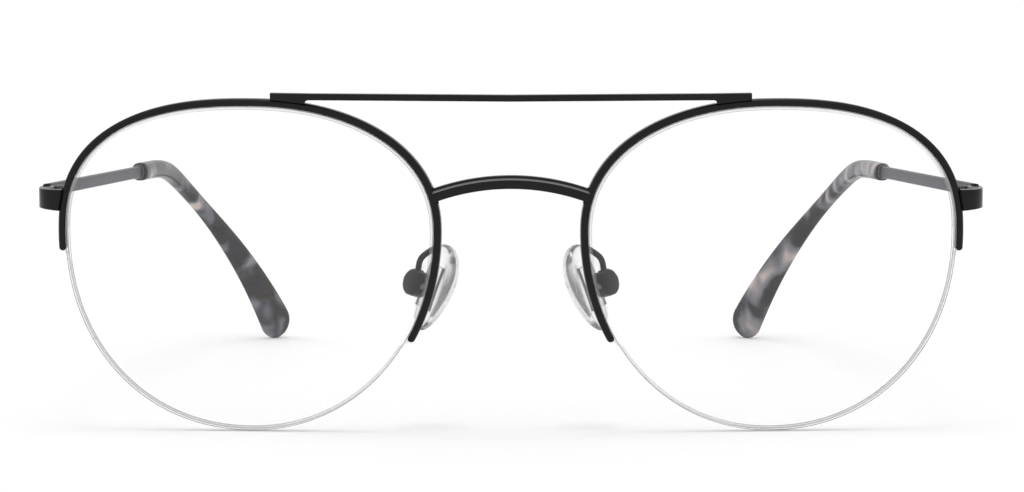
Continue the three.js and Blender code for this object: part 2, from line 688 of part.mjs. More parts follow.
for (const side of [LEFT, RIGHT]) {
  const eye = new THREE.Group();
  eye.position.set(side * lensCentreX, 0, lensCentreZ);
  eye.rotation.z = side * faceWrap;
  front.add(eye);
  addPiece(eye, side, 'lens', makeLens(), clearLens);
  addPiece(eye, side, 'rim', makeRim(), blackMetal);
  addPiece(eye, side, 'rim_liner', makeLiner(), clearNylon);
  addPiece(eye, side, 'lens_cord', makeLensCord(), clearNylon);

  addPiece(front, side, 'endpiece', makeEndpiece(), blackMetal);
  const hinge = new THREE.Group();
  hinge.position.set(side * hingeAxis.x, hingeAxis.y, hingeAxis.z);
  front.add(hinge);
  addPiece(hinge, side, 'front_hinge', makeFrontHinge(), greyMetal);
  addPiece(hinge, side, 'temple_hinge', makeTempleHinge(), greyMetal);
  addPiece(hinge, side, 'hinge_screw', makeHingeScrew(), greyMetal);

  const temple = new THREE.Group();
  const pivot = hingeAxis.clone().applyAxisAngle(new THREE.Vector3(1, 0, 0), frontTilt);
  temple.position.set(side * pivot.x, pivot.y, pivot.z + frontHeight);
  glasses.add(temple);
  addPiece(temple, side, 'temple_arm', makeTempleArm(), blackMetal);
  addPiece(temple, side, 'temple_tip', makeTempleTip(), marbledAcetate);

  const pad = new THREE.Group();
  pad.position.set(side * padCentre.x, padCentre.y, padCentre.z);
  pad.rotation.set(0, -side * padLean, -side * padSplay, 'YZX');
  front.add(pad);
  addPiece(pad, side, 'nose_pad', makeNosePad(), clearSilicone);
  addPiece(pad, side, 'pad_insert', makePadInsert(), clearNylon);
  addPiece(pad, side, 'pad_box', makePadBox(), greyMetal);
  addPiece(pad, side, 'pad_screw', makePadScrew(), greyMetal);

  const padTurn = new THREE.Euler(0, -padLean, -padSplay, 'YZX');
  const toBox = new THREE.Vector3(boxMiddle + 0.3, 0, boxRadius + padWireRadius * 0.2 + 0.1);
  toBox.applyEuler(padTurn).add(padCentre);
  const behind = edgePoint(padWireAngle, rimInner + rimWidth / 2);
  const backFace = sag(behind.x, behind.y) + (lensThickness + rimDepth) / 2;
  const fromRim = onFront(new THREE.Vector3(behind.x, backFace + 3 * fit, behind.y));
  addPiece(front, side, 'pad_wire', makePadWire(fromRim, toBox), blackMetal);
}

// The origin is under the middle of the whole, on the table
glasses.updateMatrixWorld(true);
const bounds = new THREE.Box3().setFromObject(glasses, true);
glasses.position.set(0, -(bounds.min.y + bounds.max.y) / 2, -bounds.min.z);

export default glasses;
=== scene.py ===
"""Half rim eyeglasses standing open on a pale table: the finished shapes and looks, over the CAD frame.

Lengths are in millimetres until a piece is placed. The front's own frame has x to the wearer's left, y back
towards the face and z up, leaning with the front. A lens's own frame has u outward from the nose, v up, and
depth back from the front surface of the lens.
"""
import json
import math

import bmesh
import bpy
from mathutils import Matrix, Vector


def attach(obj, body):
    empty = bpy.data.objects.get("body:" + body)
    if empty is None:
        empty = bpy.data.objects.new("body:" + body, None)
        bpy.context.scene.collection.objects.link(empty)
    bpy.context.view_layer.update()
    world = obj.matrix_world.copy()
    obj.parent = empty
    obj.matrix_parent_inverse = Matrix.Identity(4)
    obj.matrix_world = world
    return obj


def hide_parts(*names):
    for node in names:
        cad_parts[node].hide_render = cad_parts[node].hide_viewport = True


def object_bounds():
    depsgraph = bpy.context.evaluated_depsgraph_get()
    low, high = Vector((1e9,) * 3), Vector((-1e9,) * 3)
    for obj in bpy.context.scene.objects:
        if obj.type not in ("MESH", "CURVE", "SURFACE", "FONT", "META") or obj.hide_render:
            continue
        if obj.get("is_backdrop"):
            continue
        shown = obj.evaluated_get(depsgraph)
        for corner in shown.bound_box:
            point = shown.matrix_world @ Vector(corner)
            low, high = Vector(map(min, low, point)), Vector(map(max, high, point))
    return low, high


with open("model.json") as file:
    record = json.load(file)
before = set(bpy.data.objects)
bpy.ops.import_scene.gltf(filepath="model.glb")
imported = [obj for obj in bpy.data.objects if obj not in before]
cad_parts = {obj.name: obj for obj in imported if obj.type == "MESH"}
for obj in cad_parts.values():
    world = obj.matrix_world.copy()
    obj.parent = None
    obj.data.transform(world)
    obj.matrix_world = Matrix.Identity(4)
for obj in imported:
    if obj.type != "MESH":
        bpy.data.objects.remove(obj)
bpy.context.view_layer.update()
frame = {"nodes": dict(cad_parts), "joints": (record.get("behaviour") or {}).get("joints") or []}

MM = 0.001
LEFT, RIGHT = 1, -1

# The front, as in the CAD part
FRONT_TILT = math.radians(2.5)
FACE_WRAP = math.radians(4.5)
HINGE = Vector((64.1, 11.2, -0.3))
LENS_CENTRE = Vector((36, 0, -9.5))
LENS_CURVE = 120
LENS_THICKNESS = 2
MIDDLE = LENS_THICKNESS / 2
OUTLINE_CENTRE = (0.76, 4.95)
TEMPORAL_HALF, NASAL_HALF = 26.22, 25.76
TOP_HALF, BOTTOM_HALF = 17.52, 28.14
FULLNESS = {(1, 1): 2.43, (-1, 1): 2.17, (1, -1): 2.12, (-1, -1): 2.05}
GROOVE_DEPTH, GROOVE_HALF, GROOVE_DRAFT = 0.5, 0.26, 0.03
EDGE_BEVEL = 0.1

RIM_START, RIM_END = -5.6, 213.6
RIM_INNER, RIM_WIDTH, RIM_DEPTH = 0.06, 1.02, 1.9
CHANNEL_DEPTH = 0.56
LINER_START, LINER_END = 1, 206.4
CORD_RADIUS = 0.21
CORD_START, CORD_END, CORD_LEAD = 208, 359.7, 5

BROW_HALF, BROW_TOP, BROW_SAG, BROW_HEIGHT = 33.6, 14.74, 0.17, 0.96
BROW_DEPTH, BROW_FRONT, BROW_BOW = 1.3, 0.6, 1.3
GUSSET_START = 28.75
BRIDGE_HALF, BRIDGE_RADIUS, BRIDGE_CROWN = 11.6, 30.8, 2.53
BRIDGE_FRONT, BRIDGE_BOW, BRIDGE_HEIGHT, BRIDGE_DEPTH = 0.5, 0.7, 1.86, 1.5

STRAP_OFFSET, ARM_RISE = 1.8, 0.6
ARM_LENGTH, TEMPLE_LENGTH = 70.3, 145.77
ARM_HALF_THICK, ARM_HALF_TALL = 0.575, 0.9
START_YAW, END_YAW, CURL_START, CURL_LENGTH = 5.9, 45, 94, 42
START_PITCH, END_PITCH, BEND_START, BEND_LENGTH = 1.27, 59.4, 77.8, 70
CORE_END = 129.8
TIP_ROUND = 3

PAD_CENTRE = Vector((10.85, 9.4, -13.4))
PAD_SPLAY, PAD_LEAN = math.radians(35), math.radians(20)
PAD_HALF = Vector((1.3, 4.25, 6.4))
BOX_MIDDLE, BOX_RADIUS = 3.4, 1.95
PAD_WIRE_RADIUS, PAD_WIRE_ANGLE = 0.44, 186.1

joints = {joint["name"]: joint for joint in frame["joints"]}
hinge_place = Vector(joints["left_temple_fold"]["pos_m"]) / MM
TILT = Matrix.Rotation(FRONT_TILT, 4, "X")
FRONT = Matrix.Translation(hinge_place - TILT @ HINGE) @ TILT
LENS_PLACE = Matrix.Translation(LENS_CENTRE) @ Matrix.Rotation(FACE_WRAP, 4, "Z")
PAD_TURN = Matrix.Rotation(-PAD_LEAN, 4, "Y") @ Matrix.Rotation(-PAD_SPLAY, 4, "Z")


# ---- Frames ----

def on_front(side):
    """From the left half of the front's own frame to the row frame, in metres, on either side."""
    return Matrix.Scale(MM, 4) @ FRONT @ Matrix.Diagonal((side, 1, 1, 1))


def on_lens(side):
    """From a lens's own (u, depth, v) to the row frame."""
    return on_front(side) @ LENS_PLACE


def on_pad(side):
    """From a nose pad's own frame to the row frame: x away from the nose, y across the pad, z up it."""
    return on_front(side) @ Matrix.Translation(PAD_CENTRE) @ PAD_TURN


def on_temple(side):
    """From the hinge, with level axes, to the row frame."""
    return Matrix.Scale(MM, 4) @ Matrix.Diagonal((side, 1, 1, 1)) @ Matrix.Translation(hinge_place)


# ---- Making pieces ----

def swept(stations, sides, place, paint=None):
    """A bmesh skinned by extruding a ring from station to station.

    place(station, turn) gives each corner, and paint(before, after) the finish of the faces between two."""
    bm = bmesh.new()
    ring = bmesh.ops.create_circle(bm, segments=sides, radius=1)["verts"]
    edges = [edge for edge in bm.edges]
    for corner, vert in enumerate(ring):
        vert.co = place(stations[0], corner / sides * math.tau)
    for number, station in enumerate(stations[1:]):
        made = bmesh.ops.extrude_edge_only(bm, edges=edges)["geom"]
        fresh = {part for part in made if isinstance(part, bmesh.types.BMVert)}
        edges = [part for part in made if isinstance(part, bmesh.types.BMEdge)
                 and part.verts[0] in fresh and part.verts[1] in fresh]
        ring = [next(edge.other_vert(vert) for edge in vert.link_edges if edge.other_vert(vert) in fresh)
                for vert in ring]
        for corner, vert in enumerate(ring):
            vert.co = place(station, corner / sides * math.tau)
        if paint:
            for face in (part for part in made if isinstance(part, bmesh.types.BMFace)):
                face.material_index = paint(stations[number], station)
    return bm


def piece(bm, name, to_row, looks, body, nodes, slot, sharp=40):
    """Puts a finished shape in its place, on its body, for the CAD nodes that it stands for."""
    bmesh.ops.remove_doubles(bm, verts=bm.verts, dist=1e-4)
    bmesh.ops.transform(bm, matrix=to_row, verts=bm.verts)
    bmesh.ops.recalc_face_normals(bm, faces=bm.faces)
    mesh = bpy.data.meshes.new(name)
    bm.to_mesh(mesh)
    bm.free()
    for look in looks:
        mesh.materials.append(look)
    mesh.shade_smooth()
    mesh.set_sharp_from_angle(angle=math.radians(sharp))
    made = bpy.data.objects.new(name, mesh)
    bpy.context.collection.objects.link(made)
    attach(made, body)
    if nodes:
        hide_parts(*nodes)
    return made


def refined(cad_node, name, look, body, slot, edge=0.05, sharp=30, edge_shade_look=None, across=None):
    """A copy of a CAD node with its flats made whole and its corners eased, to stand for it.

    Faces that do not look along the given direction take the second look, a painted shade for the dark
    lines along a clear piece's edges."""
    bm = bmesh.new()
    bm.from_mesh(frame["nodes"][cad_node].data)
    bmesh.ops.scale(bm, vec=(1 / MM,) * 3, verts=bm.verts)
    bmesh.ops.remove_doubles(bm, verts=bm.verts, dist=2e-3)
    bmesh.ops.dissolve_limit(bm, angle_limit=math.radians(1), verts=bm.verts, edges=bm.edges)
    corners = [e for e in bm.edges if e.is_manifold and e.calc_face_angle(0) > math.radians(sharp)]
    bmesh.ops.bevel(bm, geom=corners, offset=edge, offset_type="OFFSET", segments=2, profile=0.5,
                    affect="EDGES", material=-1, clamp_overlap=True)
    if edge_shade_look:
        for face in bm.faces:
            face.material_index = 0 if abs(face.normal.dot(across)) > 0.5 else 1
    looks = [look, edge_shade_look] if edge_shade_look else [look]
    return piece(bm, name, Matrix.Scale(MM, 4), looks, body, [cad_node], slot, sharp=35)


def rounded_square(turn, squareness):
    """A point of a rounded square two across: more squareness gives tighter corners."""
    c, s = math.cos(turn), math.sin(turn)
    reach = (abs(c) ** squareness + abs(s) ** squareness) ** (-1 / squareness)
    return reach * c, reach * s


def smoothstep(value, low, high):
    share = min(max((value - low) / (high - low), 0), 1)
    return share * share * (3 - 2 * share)


def mix(a, b, share):
    return a + (b - a) * share


def spaced(start, end, step):
    """Evenly spaced values from start to end, about one step apart."""
    count = max(1, round((end - start) / step))
    return [mix(start, end, k / count) for k in range(count + 1)]


def spline(a, b, c, d, t):
    """The value a share t of the way from b to c, on a smooth curve through all four."""
    bending, twisting = 2 * a - 5 * b + 4 * c - d, 3 * b - a - 3 * c + d
    return 0.5 * (2 * b + (c - a) * t + bending * t ** 2 + twisting * t ** 3)


def smooth_line(points, steps):
    """A smooth line through points, with its directions: [(place, direction)]."""
    ends = [2 * points[0] - points[1], *points, 2 * points[-1] - points[-2]]
    line = []
    for k in range(1, len(ends) - 2):
        for step in range(steps + (k == len(ends) - 3)):
            t = step / steps
            a, b, c, d = ends[k - 1:k + 3]
            bending, twisting = 2 * a - 5 * b + 4 * c - d, 3 * b - a - 3 * c + d
            way = 0.5 * ((c - a) + 2 * bending * t + 3 * twisting * t ** 2)
            line.append((spline(a, b, c, d, t), way.normalized()))
    return line


# ---- The edge of a lens ----

def outline(angle):
    """A point of the lens outline; angles are in degrees from the temporal side, over the top."""
    c, s = math.cos(math.radians(angle)), math.sin(math.radians(angle))
    across = TEMPORAL_HALF if c >= 0 else NASAL_HALF
    up = TOP_HALF if s >= 0 else BOTTOM_HALF
    full = FULLNESS[(1 if c >= 0 else -1, 1 if s >= 0 else -1)]
    reach = (abs(c / across) ** full + abs(s / up) ** full) ** (-1 / full)
    return Vector((OUTLINE_CENTRE[0] + reach * c, OUTLINE_CENTRE[1] + reach * s))


def edge_point(angle, out):
    """A point of the outline moved out by a distance, square to the lens edge."""
    along = (outline(angle + 0.5) - outline(angle - 0.5)).normalized()
    return outline(angle) + Vector((along.y, -along.x)) * out


def sag(u, v):
    """How far the front surface of the lens falls back at (u, v)."""
    return LENS_CURVE - math.sqrt(LENS_CURVE ** 2 - u ** 2 - v ** 2)


def at_edge(angle, out, depth):
    """A place by the lens edge, as the lens's own (u, depth, v)."""
    p = edge_point(angle, out)
    return Vector((p.x, sag(p.x, p.y) + depth, p.y))


def front_place(angle, out, depth):
    """The same place in the front's own frame, on the left."""
    return LENS_PLACE @ at_edge(angle, out, depth)


def arc(centre, radius, start, end, count):
    """Points of an arc, in degrees."""
    turns = [math.radians(mix(start, end, k / (count - 1))) for k in range(count)]
    return [(centre[0] + radius * math.cos(t), centre[1] + radius * math.sin(t)) for t in turns]


def rim_section():
    """Section of the rim wire as (out, depth): rounded outside, with a channel for the liner inside."""
    low, high = RIM_INNER, RIM_INNER + RIM_WIDTH
    front, back = MIDDLE - RIM_DEPTH / 2, MIDDLE + RIM_DEPTH / 2
    outer, inner = 0.4, 0.18
    points = arc((low + inner, front + inner), inner, 180, 270, 4)
    points += arc((high - outer, front + outer), outer, 270, 360, 6)
    points += arc((high - outer, back - outer), outer, 0, 90, 6)
    points += arc((low + inner, back - inner), inner, 90, 180, 4)
    floor = low + CHANNEL_DEPTH
    points += [(low, MIDDLE + GROOVE_HALF), (floor, MIDDLE + GROOVE_HALF)]
    points += [(floor, MIDDLE - GROOVE_HALF), (low, MIDDLE - GROOVE_HALF)]
    return points


def round_ends(start, end, half, step):
    """Stations (angle, size) from start to end, with a round cap of the given half width past each."""
    turn = math.degrees(half / TEMPORAL_HALF)
    leans = [90, 75, 60, 45, 30, 15]
    caps = [(math.sin(math.radians(lean)) * turn, math.cos(math.radians(lean))) for lean in leans]
    body = [(angle, 1) for angle in spaced(start, end, step)]
    before = [(start - past, size) for past, size in caps]
    after = [(end + past, size) for past, size in caps[::-1]]
    return before + body + after


def make_lens():
    lip, foot = MIDDLE - GROOVE_HALF, MIDDLE + GROOVE_HALF
    back = LENS_THICKNESS
    reaches = [0.0, 0.12, 0.25, 0.4, 0.55, 0.7, 0.84, 0.95]
    stations = [(reach, 0, 0, "face") for reach in reaches]
    stations += [(1, EDGE_BEVEL, 0, "face"), (1, 0, EDGE_BEVEL, "edge"), (1, 0, lip, "edge")]
    stations += [(1, GROOVE_DEPTH, lip + GROOVE_DRAFT, "face")]
    stations += [(1, GROOVE_DEPTH, foot - GROOVE_DRAFT, "floor")]
    stations += [(1, 0, foot, "face"), (1, 0, back - EDGE_BEVEL, "edge"), (1, EDGE_BEVEL, back, "edge")]
    stations += [(reach, 0, back, "face") for reach in reaches[::-1]]

    def place(station, turn):
        reach, inset, depth, _ = station
        p = edge_point(math.degrees(turn), -inset)
        u, v = mix(OUTLINE_CENTRE[0], p.x, reach), mix(OUTLINE_CENTRE[1], p.y, reach)
        return Vector((u, sag(u, v) + depth, v))

    # The bevelled edge faces and the groove floor take the two painted shade looks.
    kinds = ("face", "edge", "floor")
    return swept(stations, 180, place, lambda _, station: kinds.index(station[3]))


def make_rim():
    section = rim_section()
    middle = RIM_INNER + RIM_WIDTH / 2

    def place(station, turn):
        angle, size = station
        out, depth = section[round(turn / math.tau * len(section)) % len(section)]
        deep = mix(0.55, 1, size) if size else 0.55
        return at_edge(angle, middle + (out - middle) * size, MIDDLE + (depth - MIDDLE) * deep)

    return swept(round_ends(RIM_START, RIM_END, RIM_WIDTH / 2, 2), len(section), place)


def make_liner():
    low, high = 0.05 - GROOVE_DEPTH, RIM_INNER + CHANNEL_DEPTH - 0.05
    middle, half = (low + high) / 2, (high - low) / 2

    def place(station, turn):
        angle, size = station
        x, y = rounded_square(turn, 5)
        return at_edge(angle, middle + half * x * size, MIDDLE + 0.21 * y)

    return swept(round_ends(LINER_START, LINER_END, half, 2), 16, place)


def make_lens_cord():
    in_rim, in_lens = RIM_INNER + CHANNEL_DEPTH / 2, -CORD_RADIUS - 0.04
    stations = [(angle, 1) for angle in spaced(CORD_START, CORD_END, 2)]
    stations = [(CORD_START, 0), *stations, (CORD_END, 0)]

    def place(station, turn):
        angle, size = station
        from_rim = min(angle - RIM_END, RIM_START + 360 - angle)
        out = mix(in_rim, in_lens, smoothstep(from_rim, 0, CORD_LEAD))
        radius = CORD_RADIUS * size
        return at_edge(angle, out + radius * math.cos(turn), MIDDLE + radius * math.sin(turn))

    return swept(stations, 12, place)


# ---- Across the nose ----

def rim_top_at(x):
    """Height of the rim's outer side over x, in the front's own frame."""
    low, high = 60.0, 150.0
    for _ in range(24):
        middle = (low + high) / 2
        if front_place(middle, RIM_INNER + RIM_WIDTH, 0).x > x:
            low = middle
        else:
            high = middle
    return front_place(low, RIM_INNER + RIM_WIDTH, 0).z


def make_brow_bar():
    notch = 0.45
    ease = 0.12
    ends = [BROW_HALF, BROW_HALF - 0.03, BROW_HALF - ease]
    half = ends + spaced(BROW_HALF - 0.5, GUSSET_START + 0.1, 0.5)
    half += [GUSSET_START - notch * share for share in (0, 0.1, 0.25, 0.45, 0.7, 1)]
    half += spaced(GUSSET_START - 1, 0, 3)
    shrinks = {0: ease, 1: ease * 0.5}
    stations = [(x, shrinks.get(k, 0)) for k, x in enumerate(half)]
    stations += [(-x, shrink) for x, shrink in stations[-2::-1]]
    stations = [(stations[0][0], None), *stations, (stations[-1][0], None)]

    def place(station, turn):
        x, shrink = station
        top = BROW_TOP + BROW_SAG * (x / BROW_HALF) ** 2
        foot = top - BROW_HEIGHT
        distance = GUSSET_START - abs(x)
        if distance < notch:
            seat = min(foot, rim_top_at(abs(x)) - 0.1)
            fall = 1 if distance < 0 else 1 - math.sqrt(max(0, 1 - (1 - distance / notch) ** 2))
            foot = mix(foot, seat, fall)
        front = BROW_FRONT + BROW_BOW * (x / BROW_HALF) ** 2
        if shrink is None:
            return Vector((x, front + BROW_DEPTH / 2, (top + foot) / 2))
        a, b = rounded_square(turn, 7)
        tall, deep = (top - foot) / 2 - shrink, BROW_DEPTH / 2 - shrink
        return Vector((x, front + BROW_DEPTH / 2 + deep * a, (top + foot) / 2 + tall * b))

    return swept(stations, 32, place)


def bridge_section():
    """Section of the bridge as (depth, up): flat in front, with a wide bevel along its upper front edge."""
    top, foot = BRIDGE_HEIGHT / 2, -BRIDGE_HEIGHT / 2
    front, back = -BRIDGE_DEPTH / 2, BRIDGE_DEPTH / 2
    points = [(front + 0.16, foot), (front + 0.05, foot + 0.05), (front, foot + 0.16), (front, top - 0.66)]
    points += [(front + 0.02, top - 0.62), (front + 0.27, top - 0.37), (front + 0.3, top - 0.32)]
    points += [(front + 0.31, top - 0.12), (front + 0.38, top - 0.03), (front + 0.5, top)]
    points += [(back - 0.14, top), (back - 0.04, top - 0.04), (back, top - 0.14)]
    points += [(back, foot + 0.14), (back - 0.04, foot + 0.04), (back - 0.14, foot)]
    return points


def make_bridge():
    section = bridge_section()
    half_span = math.asin(BRIDGE_HALF / BRIDGE_RADIUS)
    stations = [(share, 1) for share in spaced(-0.985, 0.985, 0.05)]
    stations = [(-0.985, 0), *stations, (0.985, 0)]

    def place(station, turn):
        share, size = station
        deep, up = section[round(turn / math.tau * len(section)) % len(section)]
        flare = 1 + 0.14 * smoothstep(abs(share), 0.88, 0.96)
        radius = BRIDGE_RADIUS + up * size * flare
        angle = share * half_span
        depth = BRIDGE_FRONT + BRIDGE_BOW * share ** 2 + BRIDGE_DEPTH / 2 + deep * size
        height = BRIDGE_CROWN - BRIDGE_RADIUS + radius * math.cos(angle)
        return Vector((radius * math.sin(angle), depth, height))

    bm = swept(stations, len(section), place)
    paint_bevel_highlight(bm)
    return bm


def paint_bevel_highlight(bm):
    """Gives the wide bevel, which leans back halfway between front and top, the bridge's second look: a
    lighter colour, a painted highlight for the light that the bevel catches from above.
    """
    bm.normal_update()
    for face in bm.faces:
        middle = face.calc_center_median()
        up = Vector((middle.x, 0, middle.z - BRIDGE_CROWN + BRIDGE_RADIUS)).normalized()
        slant = face.normal.dot(up)
        if face.normal.y * slant < 0 and 0.64 < abs(slant) < 0.75:
            face.material_index = 1


def make_braze(start, end):
    """The fillet of solder in front, where a piece meets the outside of the rim between two angles."""
    line = []
    for angle in spaced(start, end, 0.5):
        here = front_place(angle, RIM_INNER + RIM_WIDTH, MIDDLE - RIM_DEPTH / 2 + 0.32)
        ahead = front_place(angle + 0.1, RIM_INNER + RIM_WIDTH, MIDDLE - RIM_DEPTH / 2 + 0.32)
        line.append((here, (ahead - here).normalized()))
    return tube(line, 0.17, 12)


# ---- Temples ----

def temple_line(step=0.25):
    """The temple's centre line from the hinge: [(place, outward, up)], one station every step."""
    line = []
    place = Vector((STRAP_OFFSET, 0, ARM_RISE))
    for k in range(round(TEMPLE_LENGTH / step) + 3):
        s = k * step
        bent = smoothstep(s, BEND_START, BEND_START + BEND_LENGTH)
        curled = smoothstep(s, CURL_START, CURL_START + CURL_LENGTH)
        pitch = math.radians(mix(START_PITCH, END_PITCH, bent))
        yaw = math.radians(mix(START_YAW, END_YAW, curled))
        level = math.cos(pitch)
        ahead = Vector((-math.sin(yaw) * level, math.cos(yaw) * level, -math.sin(pitch)))
        outward = Vector((math.cos(yaw), math.sin(yaw), 0))
        line.append((place.copy(), outward, outward.cross(ahead)))
        place += ahead * step
    return line


LINE_STEP = 0.25
LINE = temple_line(LINE_STEP)


def along_temple(s, out, up):
    """A place beside the temple's centre line."""
    k = min(int(s / LINE_STEP), len(LINE) - 2)
    share = s / LINE_STEP - k
    place = LINE[k][0].lerp(LINE[k + 1][0], share)
    return place + LINE[k][1] * out + LINE[k][2] * up


def make_temple_arm():
    """The flat arm, its shoulder at the tip's mouth, and the thin wire that runs on inside the tip."""
    thick, tall = ARM_HALF_THICK, ARM_HALF_TALL
    start, neck, mouth = 0.15, ARM_LENGTH - 1.4, ARM_LENGTH
    stations = [(start, 0, 0), (start, thick - 0.1, tall - 0.1), (start + 0.03, thick - 0.03, tall - 0.03),
                (start + 0.1, thick, tall)]
    stations += [(s, thick, tall) for s in spaced(2, neck - 1.2, 2.5)]
    stations += [(neck - 0.8, thick, tall), (neck - 0.45, 0.62, 0.99), (neck - 0.2, 0.78, 1.06)]
    stations += [(neck, 0.85, 1.12), (neck + 0.5, 0.87, 1.14)]
    stations += [(mouth - 0.5, 0.86, 1.13), (mouth - 0.2, 0.8, 1.06), (mouth, 0.5, 0.7)]
    for s in spaced(mouth + 1, CORE_END, 1.5):
        taper = mix(1, 0.7, (s - mouth) / (CORE_END - mouth))
        stations.append((s, 0.42 * taper, 0.62 * taper))
    stations += [(CORE_END, 0, 0)]

    def place(station, turn):
        s, half_thick, half_tall = station
        x, y = rounded_square(turn, 5 if s < ARM_LENGTH - 2 else 2.6)
        return along_temple(s, half_thick * x, half_tall * y)

    return swept(stations, 24, place)


def tip_half(share):
    """Half thickness and half height of the tip at a share of its length."""
    heights = [1.4, 1.42, 1.38, 1.32, 2.15, 3.2]
    thicks = [1.24, 1.24, 1.14, 1.04, 1.12, 1.1]
    at = min(max(share, 0), 0.9999) * (len(heights) - 1)
    k, t = int(at), at - int(at)

    def eased(values):
        ends = [values[0], *values, values[-1]]
        return spline(*ends[k:k + 4], t)

    return eased(thicks), eased(heights)


def make_temple_tip():
    mouth = ARM_LENGTH + 0.15
    round_from = TEMPLE_LENGTH - TIP_ROUND
    length = TEMPLE_LENGTH - mouth
    bore = (0.6, 0.8)
    stations = [(mouth + 1.5, 0, 0), (mouth + 1.5, *bore), (mouth, *bore)]
    first = tip_half(0)
    stations += [(mouth - 0.02, bore[0] + 0.15, bore[1] + 0.15), (mouth, first[0] - 0.16, first[1] - 0.16)]
    stations += [(mouth + 0.06, first[0] - 0.05, first[1] - 0.05), (mouth + 0.2, *first)]
    stations += [(s, *tip_half((s - mouth) / length)) for s in spaced(mouth + 0.8, round_from, 0.8)]
    blunt = tip_half((round_from - mouth) / length)
    for share in (0.15, 0.3, 0.45, 0.6, 0.72, 0.82, 0.9, 0.955, 0.985, 1):
        shrink = math.sqrt(1 - share ** 2)
        stations.append((mix(round_from, TEMPLE_LENGTH, share), blunt[0] * shrink, blunt[1] * shrink))

    def place(station, turn):
        s, half_thick, half_tall = station
        x, y = rounded_square(turn, 2.6)
        return along_temple(s, half_thick * x, half_tall * y)

    # Painted shade: the bore and the face of the mouth take the second, darker look, for the shade in that
    # recess.
    painted_shade_ring = stations[:5]
    return swept(stations, 36, place, lambda _, station: 1 if station in painted_shade_ring else 0)


# ---- Nose pads ----

def make_nose_pad():
    """A soft oval pad: fuller at its upper end, flatter at the back where its insert sits."""
    bm = bmesh.new()
    bmesh.ops.create_uvsphere(bm, u_segments=48, v_segments=32, radius=1)
    fuller_above, back_flat, back_swell = 0.25, 0.55, 0.25
    for vert in bm.verts:
        x, y, z = vert.co
        full = 1 + fuller_above * z
        if x > 0:
            deep = x * back_flat * PAD_HALF.x + back_swell * (1 - y * y - z * z) ** 2
        else:
            deep = x * PAD_HALF.x
        vert.co = Vector((deep, y * full * PAD_HALF.y, z * PAD_HALF.z))
    return bm


def tube(line, radius, sides=16):
    """A round wire along a smooth line, with eased ends."""
    first, last = line[0], line[-1]
    ease = radius * 0.4
    stations = [(first[0], first[1], 0), (first[0], first[1], radius - ease)]
    stations += [(first[0] + first[1] * ease, first[1], radius)]
    stations += [(place, way, radius) for place, way in line[1:-1]]
    stations += [(last[0] - last[1] * ease, last[1], radius)]
    stations += [(last[0], last[1], radius - ease), (last[0], last[1], 0)]
    guide = Vector((0, 0, 1)).cross(first[1]).normalized()

    def place(station, turn):
        nonlocal guide
        centre, way, size = station
        guide = (guide - way * guide.dot(way)).normalized()
        return centre + (guide * math.cos(turn) + way.cross(guide) * math.sin(turn)) * size

    return swept(stations, sides, place)


def make_pad_wire():
    to_box = PAD_CENTRE + PAD_TURN @ Vector((BOX_MIDDLE + 0.3, 0, BOX_RADIUS - 0.45))
    start = front_place(PAD_WIRE_ANGLE, RIM_INNER + RIM_WIDTH / 2, (LENS_THICKNESS + RIM_DEPTH) / 2)
    points = [start, start + Vector((0.15, 1.7, 0.25)), start + Vector((0.45, 3.4, 0)),
              to_box + Vector((-0.55, 0.5, 2)), to_box]
    return tube(smooth_line(points, 12), PAD_WIRE_RADIUS)


# ---- Finishes ----

def finish(name, **sockets):
    """A material whose shader sockets are set to constants."""
    made = bpy.data.materials.new(name)
    made.use_nodes = True
    shader = made.node_tree.nodes["Principled BSDF"]
    for socket, value in sockets.items():
        shader.inputs[socket.replace("_", " ")].default_value = value
    return made


def node(material, kind, **settings):
    made = material.node_tree.nodes.new(kind)
    for name, value in settings.items():
        if name in made.inputs:
            made.inputs[name].default_value = value
        else:
            setattr(made, name, value)
    return made


def join(material, source, target):
    material.node_tree.links.new(source, target)


def mottled(material, scale, low, high, bump, bump_scale, distance=0.00002):
    """Roughness that wanders between two values, and a fine bump, both over the piece's own coordinates."""
    shader = material.node_tree.nodes["Principled BSDF"]
    coords = node(material, "ShaderNodeTexCoord")
    noise = node(material, "ShaderNodeTexNoise", Scale=scale, Detail=4)
    join(material, coords.outputs["Object"], noise.inputs["Vector"])
    spread = node(material, "ShaderNodeMapRange")
    spread.inputs["To Min"].default_value = low
    spread.inputs["To Max"].default_value = high
    join(material, noise.outputs["Fac"], spread.inputs["Value"])
    join(material, spread.outputs["Result"], shader.inputs["Roughness"])
    grain = node(material, "ShaderNodeTexNoise", Scale=bump_scale, Detail=3)
    join(material, coords.outputs["Object"], grain.inputs["Vector"])
    raised = node(material, "ShaderNodeBump", Strength=bump, Distance=distance)
    join(material, grain.outputs["Fac"], raised.inputs["Height"])
    join(material, raised.outputs["Normal"], shader.inputs["Normal"])


def ramp(material, stops):
    made = node(material, "ShaderNodeValToRGB")
    elements = made.color_ramp.elements
    while len(elements) < len(stops):
        elements.new(0.5)
    for element, (position, colour) in zip(elements, stops):
        element.position = position
        element.color = (*colour, 1)
    return made


def black_lacquer():
    made = finish("black_lacquer", Base_Color=(0.005, 0.0048, 0.0046, 1), Specular_IOR_Level=0.2)
    mottled(made, 900, 0.2, 0.28, 0.1, 9000)
    return made


def arm_lacquer():
    """The same black over drawn wire, with a bluish sheen where it is seen along its side."""
    sheen = (0.7, 0.7, 0.74, 1)
    made = finish("arm_lacquer", Base_Color=(0.02, 0.02, 0.021, 1), Metallic=1.0, Specular_Tint=sheen)
    mottled(made, 700, 0.26, 0.36, 0.12, 9000)
    return made


def grey_metal(name, colour, low, high):
    made = finish(name, Base_Color=(*colour, 1), Metallic=0.9)
    mottled(made, 1500, low, high, 0.15, 14000)
    return made


